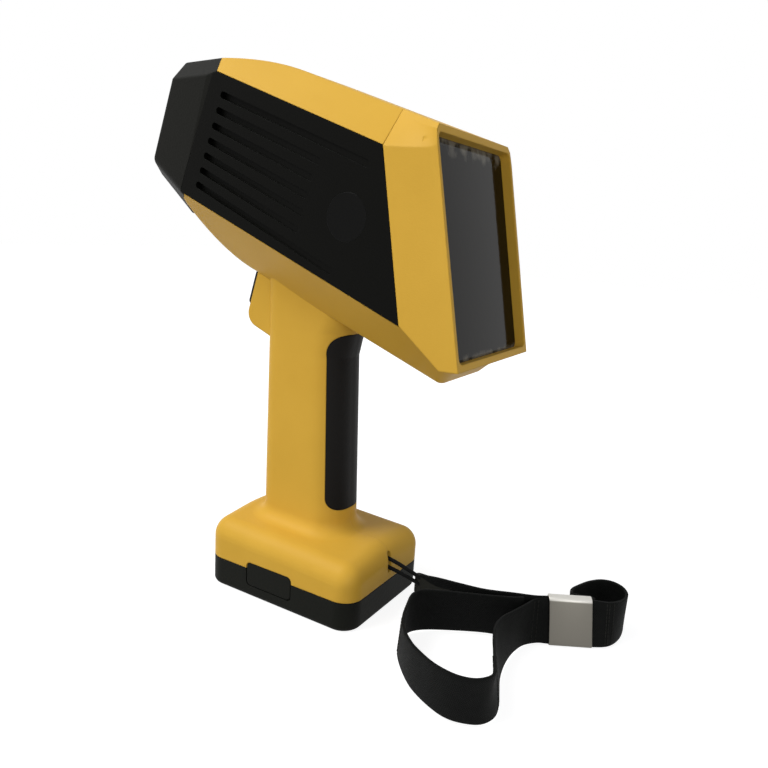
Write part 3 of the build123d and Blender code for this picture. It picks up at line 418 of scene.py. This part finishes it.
contact_brass = new_finish("contact_brass", linear(190, 150, 80), 0.3, 1.0)
grain(contact_brass, 800.0, 0.00002)
dress(contact_brass, "battery_contacts", "terminal_pins")

board_green = new_finish("board_green", linear(30, 80, 50), 0.5)
grain(board_green, 600.0, 0.00004)
dress(board_green, "battery_board", "processor_board")

# ==== Inside the head =============================================================================
# An aluminium deck carries the X-ray tube, the detector, the high-voltage block and the boards, closed
# in between the two shells.
deck_metal = new_finish("deck_metal", linear(170, 172, 174), 0.4, 1.0)
grain(deck_metal, 500.0, 0.00004)
dress(deck_metal, "chassis_deck", "heat_spreader")

tube_metal = new_finish("tube_metal", linear(140, 138, 132), 0.35, 1.0)
grain(tube_metal, 700.0, 0.00003)
dress(tube_metal, "xray_tube", "detector")

potting = new_finish("potting", linear(40, 42, 50), 0.4)
grain(potting, 400.0, 0.00006)
dress(potting, "high_voltage_supply")

# ==== Wrist strap =================================================================================
# Flat black nylon webbing, sewn into one big loop with a small loop at its end. The tail behind narrows
# into a leather tab that holds the cord.
strap_top = 23.5
strap_thickness = 1.3 * mm
strap_edge = 0.28 * strap_thickness
strap_steps = 90
strap_rows = 9
curve_steps = 12
corner_angle = radians(60)
weave_pitch = 0.9 * mm
weave_pitch_across = 1.6 * weave_pitch
weave_depth = 0.09 * mm
# plan points of the upper and the lower edge of each run, which leans a little, in millimetres
big_loop_top = (
    (130.8, 24.6), (122.2, 19.6), (117.1, 16.5), (114.9, 8.6), (112.4, -0.9), (110.6, -7.7), (110.2, -13.4),
    (110.9, -20.0), (113.7, -28.3), (117.5, -37.1), (121.2, -45.6), (123.6, -52.5), (120.0, -58.6),
    (113.5, -61.4), (106.0, -61.2), (99.2, -59.4), (91.1, -55.4), (86.6, -52.4), (80.7, -46.7), (75.0, -38.0),
    (71.0, -26.9), (68.6, -17.6), (71.0, -11.4), (80.3, -5.8), (97.2, 2.6), (106.5, 7.8), (112.4, 12.0),
)
big_loop_low = (
    (132.2, 21.6), (125.2, 17.8), (119.8, 14.8), (115.2, 8.4), (113.7, 1.0), (113.5, -5.9), (114.3, -14.5),
    (116.4, -24.0), (119.9, -33.2), (122.6, -40.4), (123.9, -48.0), (120.9, -54.8), (114.0, -58.4),
    (107.5, -59.2), (100.5, -57.4), (92.5, -53.8), (86.0, -49.6), (79.0, -43.0), (72.4, -35.0), (67.8, -26.0),
    (66.2, -17.8), (69.0, -11.4), (77.5, -4.4), (95.0, 6.2), (107.0, 10.4), (114.4, 12.0),
)
big_loop_low_heights = (0.8, 0.8, 0.8, 1.0, 1.3, 1.5)
big_loop_top_heights = (23.0, 23.0, 22.4, 22.4, 22.6, 22.9, 23.2, 23.5)
end_loop_top = (
    (131.0, 24.7), (140.0, 29.6), (147.2, 32.6), (151.6, 38.0), (152.5, 45.4), (149.3, 51.6), (143.8, 54.4),
    (138.2, 53.0), (133.6, 47.4), (130.6, 40.4), (128.9, 34.6), (130.0, 30.4), (134.4, 31.0), (138.6, 32.4),
    (140.4, 31.6), (138.0, 30.4), (130.0, 26.1),
)
end_loop_low = (
    (132.2, 21.7), (141.4, 27.0), (148.6, 32.0), (151.6, 39.5), (151.8, 49.0), (150.0, 57.0), (146.0, 60.0),
    (140.6, 57.5), (135.6, 50.5), (131.6, 43.0), (129.8, 36.5), (131.2, 31.6), (135.4, 30.2), (139.6, 31.0),
    (141.8, 29.4), (139.8, 27.6), (132.2, 23.2),
)
end_loop_heights = (0.8, 0.8, 1.2, 1.5)
tail_top = (
    (130.0, 26.1), (121.4, 20.9), (115.8, 17.7), (106.9, 13.9), (94.0, 8.4), (82.0, 6.6), (70.0, 5.8),
    (59.6, 6.4),
)
tail_low = (
    (132.2, 23.2), (124.6, 18.8), (119.0, 15.6), (108.0, 13.2), (95.0, 10.6), (82.0, 8.6), (70.0, 8.2),
    (59.6, 8.2),
)
# the tail narrows from the slider to the tip of the tab
tail_low_heights = (0.8, 0.8, 0.8, 1.5, 1.5, 2.5, 7.5, 10.9)
tail_top_heights = (23.2, 23.2, 23.0, 23.0, 22.9, 22.6, 22.0, 20.2)


def soft_run(route, count):
    """Even steps along a smooth line through a route's points."""
    route = [Vector(point) for point in route]
    ends = [2 * route[0] - route[1], *route, 2 * route[-1] - route[-2]]
    line = []
    for before, start, stop, after in zip(ends, ends[1:], ends[2:], ends[3:]):
        leave, arrive = start + (stop - before) / 6, stop - (after - start) / 6
        line += interpolate_bezier(start, leave, arrive, stop, curve_steps)[:-1]
    line.append(route[-1])
    lengths = [0.0]
    for here, there in zip(line, line[1:]):
        lengths.append(lengths[-1] + (there - here).length)
    steps = []
    spot = 0
    for step in range(count):
        reach = lengths[-1] * step / (count - 1)
        while spot < len(line) - 2 and lengths[spot + 1] < reach:
            spot += 1
        share = (reach - lengths[spot]) / (lengths[spot + 1] - lengths[spot])
        steps.append(line[spot].lerp(line[spot + 1], share))
    return steps


def round_edges(piece, width):
    """Takes the sharpness off a piece's corners."""
    rounding = piece.modifiers.new("rounding", "BEVEL")
    rounding.width = width
    rounding.segments = 2
    rounding.limit_method = "ANGLE"
    rounding.angle_limit = corner_angle


def ribbon(name, low_route, top_route, count):
    """A flat band between two edges, with its length and height as its UV map."""
    low_edge = soft_run(low_route, count)
    top_edge = soft_run(top_route, count)
    shape = bmesh.new()
    rows = []
    along = 0.0
    marks = {}
    for step, (low, top) in enumerate(zip(low_edge, top_edge)):
        if step:
            along += ((low + top) / 2 - (low_edge[step - 1] + top_edge[step - 1]) / 2).length
        row = []
        for part in range(strap_rows):
            point = shape.verts.new(low.lerp(top, part / (strap_rows - 1)) * mm)
            marks[point] = (along * mm, part / (strap_rows - 1) * (top - low).length * mm)
            row.append(point)
        rows.append(row)
    cloth_map = shape.loops.layers.uv.new("weave")
    for here, there in zip(rows, rows[1:]):
        for part in range(strap_rows - 1):
            face = shape.faces.new((here[part], there[part], there[part + 1], here[part + 1]))
            face.smooth = True
            for loop in face.loops:
                loop[cloth_map].uv = marks[loop.vert]
    mesh = bpy.data.meshes.new(name)
    shape.to_mesh(mesh)
    shape.free()
    piece = put_in_scene(name, mesh)
    wall = piece.modifiers.new("wall", "SOLIDIFY")
    wall.thickness = strap_thickness
    wall.offset = 0.0
    round_edges(piece, strap_edge)
    return piece


def at_heights(route, heights):
    """A plan route with its heights, of which the last holds for all points that follow."""
    heights = (*heights, *[heights[-1]] * (len(route) - len(heights)))
    return [(x, y, height) for (x, y), height in zip(route, heights)]


def weave(finish):
    """Flat woven threads along and across the band, on its own map."""
    tree = finish.node_tree
    place = tree.nodes.new("ShaderNodeUVMap")
    place.uv_map = "weave"
    parts = tree.nodes.new("ShaderNodeSeparateXYZ")
    tree.links.new(place.outputs["UV"], parts.inputs["Vector"])
    waves = []
    for axis, pitch in (("X", weave_pitch), ("Y", weave_pitch_across)):
        turn = tree.nodes.new("ShaderNodeMath")
        turn.operation = "MULTIPLY"
        turn.inputs[1].default_value = 2 * pi / pitch
        tree.links.new(parts.outputs[axis], turn.inputs[0])
        wave = tree.nodes.new("ShaderNodeMath")
        wave.operation = "SINE"
        tree.links.new(turn.outputs["Value"], wave.inputs[0])
        waves.append(wave.outputs["Value"])
    cross = tree.nodes.new("ShaderNodeMath")
    cross.operation = "MULTIPLY"
    tree.links.new(waves[0], cross.inputs[0])
    tree.links.new(waves[1], cross.inputs[1])
    bump = tree.nodes.new("ShaderNodeBump")
    bump.inputs["Distance"].default_value = weave_depth
    tree.links.new(cross.outputs["Value"], bump.inputs["Height"])
    tree.links.new(bump.outputs["Normal"], tree.nodes["Principled BSDF"].inputs["Normal"])


webbing = new_finish("webbing", linear(7, 8, 7), 0.7, specular=0.07)
mottle(webbing, linear(12, 13, 12), 260.0)
weave(webbing)
dress(webbing, "wrist_strap")

big_loop_edges = (at_heights(big_loop_low, big_loop_low_heights), at_heights(big_loop_top, big_loop_top_heights))
end_loop_edges = (at_heights(end_loop_low, end_loop_heights), at_heights(end_loop_top, [strap_top]))
tail_edges = (at_heights(tail_low, tail_low_heights), at_heights(tail_top, tail_top_heights))
big_loop_steps = 2 * strap_steps
big_loop = ribbon("strap_big_loop", *big_loop_edges, big_loop_steps)
end_loop = ribbon("strap_end_loop", *end_loop_edges, strap_steps)
tail = ribbon("strap_tail", *tail_edges, strap_steps)
for run in (big_loop, end_loop, tail):
    run.data.materials.append(webbing)
    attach(run, "housing")
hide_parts("wrist_strap")

# Rows of black thread across the webbing hold its folded ends.
stitch_pitch = 1.9 * mm
stitch_length = 1.45 * mm
thread_radius = 0.2 * mm
thread_sides = 8
stitch_lift = 0.04 * mm
stitch_margin = 0.07  # bare webbing above and below a row, as a share of its width
# where each row lies, as a share of its run's length
big_loop_rows = (0.068, 0.078, 0.33, 0.342, 0.655, 0.667)
end_loop_rows = (0.17, 0.185, 0.2)

stitch_sizes = {"Pitch": stitch_pitch, "Stitch length": stitch_length, "Thread radius": thread_radius}

stitch_thread = new_finish("stitch_thread", linear(34, 34, 31), 0.7, specular=0.1)
grain(stitch_thread, 2500.0, 0.00003)


def stitch_tree():
    """Short threads laid end to end along every edge of a mesh."""
    tree = bpy.data.node_groups.new("stitch_rows", "GeometryNodeTree")
    tree.interface.new_socket("Rows", in_out="INPUT", socket_type="NodeSocketGeometry")
    for name in stitch_sizes:
        tree.interface.new_socket(name, in_out="INPUT", socket_type="NodeSocketFloat")
    tree.interface.new_socket("Stitches", in_out="OUTPUT", socket_type="NodeSocketGeometry")
    given = tree.nodes.new("NodeGroupInput")
    made = tree.nodes.new("NodeGroupOutput")
    line = tree.nodes.new("GeometryNodeMeshToCurve")
    steps = tree.nodes.new("GeometryNodeResampleCurve")
    steps.mode = "LENGTH"
    points = tree.nodes.new("GeometryNodeCurveToPoints")
    points.mode = "EVALUATED"
    thread = tree.nodes.new("GeometryNodeMeshCylinder")
    thread.inputs["Vertices"].default_value = thread_sides
    placed = tree.nodes.new("GeometryNodeInstanceOnPoints")
    whole = tree.nodes.new("GeometryNodeRealizeInstances")
    finish = tree.nodes.new("GeometryNodeSetMaterial")
    finish.inputs["Material"].default_value = stitch_thread
    tree.links.new(given.outputs["Rows"], line.inputs["Mesh"])
    tree.links.new(line.outputs["Curve"], steps.inputs["Curve"])
    tree.links.new(given.outputs["Pitch"], steps.inputs["Length"])
    tree.links.new(steps.outputs["Curve"], points.inputs["Curve"])
    tree.links.new(given.outputs["Thread radius"], thread.inputs["Radius"])
    tree.links.new(given.outputs["Stitch length"], thread.inputs["Depth"])
    tree.links.new(points.outputs["Points"], placed.inputs["Points"])
    tree.links.new(thread.outputs["Mesh"], placed.inputs["Instance"])
    tree.links.new(points.outputs["Rotation"], placed.inputs["Rotation"])
    tree.links.new(placed.outputs["Instances"], whole.inputs["Geometry"])
    tree.links.new(whole.outputs["Geometry"], finish.inputs["Geometry"])
    tree.links.new(finish.outputs["Geometry"], made.inputs["Stitches"])
    return tree


seams = bmesh.new()
for (low_route, top_route), count, shares in (
    (big_loop_edges, big_loop_steps, big_loop_rows),
    (end_loop_edges, strap_steps, end_loop_rows),
):
    low_edge = soft_run(low_route, count)
    top_edge = soft_run(top_route, count)
    for share in shares:
        step = round(share * (count - 1))
        onward = (low_edge[step + 1] - low_edge[step - 1]).normalized()
        outward = onward.cross((top_edge[step] - low_edge[step]).normalized())
        for face in (-1, 1):
            lift = outward * face * (strap_thickness / 2 + stitch_lift)
            ends = [seams.verts.new(low_edge[step].lerp(top_edge[step], reach) * mm + lift)
                    for reach in (stitch_margin, 1 - stitch_margin)]
            seams.edges.new(ends)
seam_mesh = bpy.data.meshes.new("strap_stitch_rows")
seams.to_mesh(seam_mesh)
seams.free()
seam_rows = put_in_scene("strap_stitch_rows", seam_mesh)
sewing = seam_rows.modifiers.new("sewing", "NODES")
sewing.node_group = stitch_tree()
for socket in sewing.node_group.interface.items_tree:
    if socket.name in stitch_sizes:
        sewing[socket.identifier] = stitch_sizes[socket.name]
sewn = bpy.data.meshes.new_from_object(seam_rows.evaluated_get(bpy.context.evaluated_depsgraph_get()))
seam_rows.modifiers.remove(sewing)
bpy.data.objects.remove(seam_rows)
stitches = put_in_scene("strap_stitches", sewn)
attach(stitches, "housing")

# The tab is a folded piece of dark leather round the tail's tip.
tab_leather = new_finish("tab_leather", linear(24, 24, 19), 0.6, specular=0.15)
grain(tab_leather, 700.0, 0.0002)
dress(tab_leather, "strap_end_tab")

# ==== Strap slider ================================================================================
# A flat steel sleeve, rolled along its upper and lower edge and brushed satin. It slides on both layers
# of the strap and leans with them.
sleeve_length = 20.5
sleeve_low = 0.3
sleeve_high = 24.4
sleeve_depth = 5.0
sleeve_wall = 0.8
sleeve_roll = 2.2
sleeve_edge = 0.25 * mm
sleeve_corner_steps = 8
sleeve_angle = radians(30.0)
sleeve_middle = Vector((131.7, 24.7))
sleeve_run = Vector((cos(sleeve_angle), sin(sleeve_angle)))
sleeve_across = Vector((-sin(sleeve_angle), cos(sleeve_angle)))
# how far its top leans back and along, and the share of its height that stays over its middle
sleeve_lean_back = 3.6
sleeve_back_pivot = 0.65
sleeve_lean_along = -1.8
sleeve_along_pivot = 0.5


def sleeve_section(inset):
    """The sleeve's outline across the strap, as pairs of depth and height."""
    radius = sleeve_roll - inset
    half_depth = sleeve_depth / 2 - inset
    outline = []
    for side, end, first in ((1, 1, 0.0), (-1, 1, 90.0), (-1, -1, 180.0), (1, -1, 270.0)):
        height = sleeve_high - inset - radius if end == 1 else sleeve_low + inset + radius
        for step in range(sleeve_corner_steps + 1):
            turn = radians(first + 90.0 * step / sleeve_corner_steps)
            outline.append((side * (half_depth - radius) + radius * cos(turn), height + radius * sin(turn)))
    return outline


def sleeve_point(along, depth, height):
    """A point of the leaning sleeve, given along the strap, across it and by its height."""
    rise = (height - sleeve_low) / (sleeve_high - sleeve_low)
    along += sleeve_lean_along * (rise - sleeve_along_pivot)
    depth += sleeve_lean_back * (rise - sleeve_back_pivot)
    plan = sleeve_middle + sleeve_run * along + sleeve_across * depth
    return Vector((plan.x, plan.y, height)) * mm


shape = bmesh.new()
rings = []
for inset, along in ((0.0, -1), (0.0, 1), (sleeve_wall, 1), (sleeve_wall, -1)):
    rings.append([shape.verts.new(sleeve_point(along * sleeve_length / 2, depth, height))
                  for depth, height in sleeve_section(inset)])
for ring, other in zip(rings, (*rings[1:], rings[0])):
    for corner in range(len(ring)):
        after = (corner + 1) % len(ring)
        shape.faces.new((ring[corner], ring[after], other[after], other[corner])).smooth = True
bmesh.ops.recalc_face_normals(shape, faces=shape.faces)
sleeve_mesh = bpy.data.meshes.new("slider_sleeve")
shape.to_mesh(sleeve_mesh)
shape.free()
sleeve = put_in_scene("slider_sleeve", sleeve_mesh)
round_edges(sleeve, sleeve_edge)

# painted highlight: its rolled upper edge is painted lighter from its height, standing for the bright reflection
# along the roll
brushed_steel = linear(106, 103, 96)
# the lighter colour of the painted highlight on the upper roll
painted_highlight_steel = linear(205, 203, 197)
highlight_band_starts = 22.3 * mm
highlight_band_full = 23.4 * mm
slider_metal = new_finish("slider_metal", brushed_steel, 0.36, 1.0)
grain(slider_metal, 900.0, 0.00003)
brushed = slider_metal.node_tree
level_of = brushed.nodes.new("ShaderNodeSeparateXYZ")
place = brushed.nodes.new("ShaderNodeTexCoord")
# the band of heights where the painted highlight fades in
highlight_band = brushed.nodes.new("ShaderNodeMapRange")
highlight_band.inputs["From Min"].default_value = highlight_band_starts
highlight_band.inputs["From Max"].default_value = highlight_band_full
tint = brushed.nodes.new("ShaderNodeValToRGB")
tint.color_ramp.elements[0].color = (*brushed_steel, 1.0)
tint.color_ramp.elements[1].color = (*painted_highlight_steel, 1.0)
brushed.links.new(place.outputs["Object"], level_of.inputs["Vector"])
brushed.links.new(level_of.outputs["Z"], highlight_band.inputs["Value"])
brushed.links.new(highlight_band.outputs["Result"], tint.inputs["Fac"])
brushed.links.new(tint.outputs["Color"], brushed.nodes["Principled BSDF"].inputs["Base Color"])
dress(slider_metal, "strap_slider")
sleeve_mesh.materials.append(slider_metal)
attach(sleeve, "slider")
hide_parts("strap_slider")
